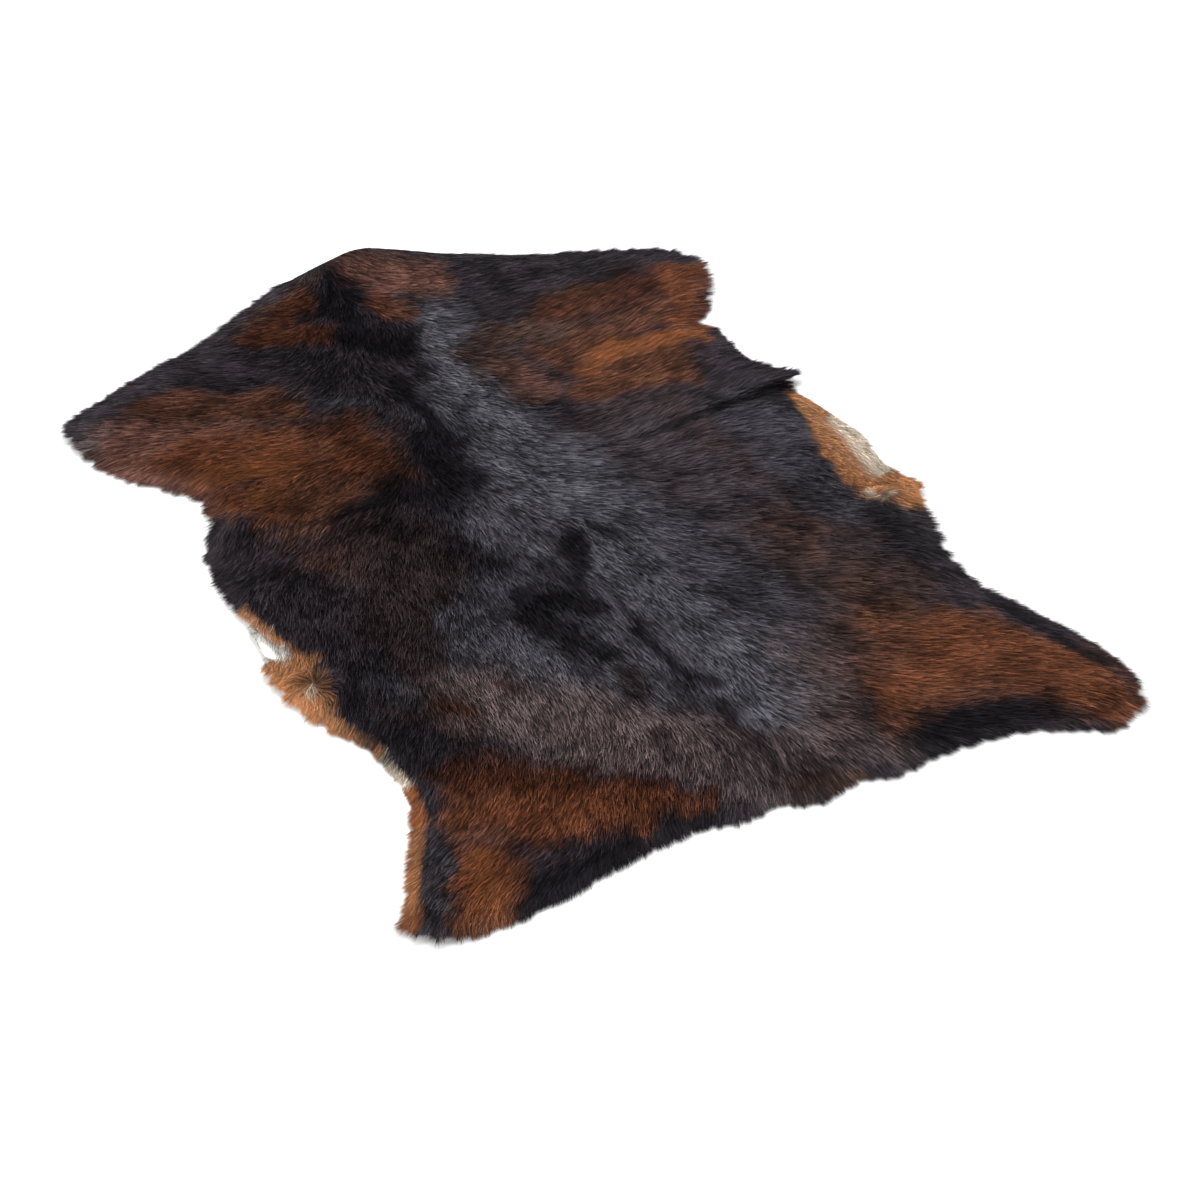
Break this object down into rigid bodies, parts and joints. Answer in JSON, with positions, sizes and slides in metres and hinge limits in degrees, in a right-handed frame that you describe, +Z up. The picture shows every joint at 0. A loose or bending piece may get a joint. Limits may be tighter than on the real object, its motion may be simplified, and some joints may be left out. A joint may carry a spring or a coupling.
{
  "type": "goatskin rug",
  "caption": "Natural goatskin rug in the shape of the whole hide with leg flaps, lying flat, hair side up, with soft folds at the neck and armpit.",
  "frame": {"origin": "middle of the hide's box, on the surface that the hide lies on", "axes": "+Y along the spine from tail to neck, +X to the right of the back seen from above, +Z up out of the hair side"},
  "size_m": [0.672, 0.93, 0.02],
  "materials": {
    "goat_hair": "short lying goat hair, black brown with russet patches and a soft silvery sheen",
    "tanned_skin": "pale suede flesh side and cut edge"
  },
  "bodies": {
    "root": {"goatskin": "goat_hair"}
  },
  "joints": []
}
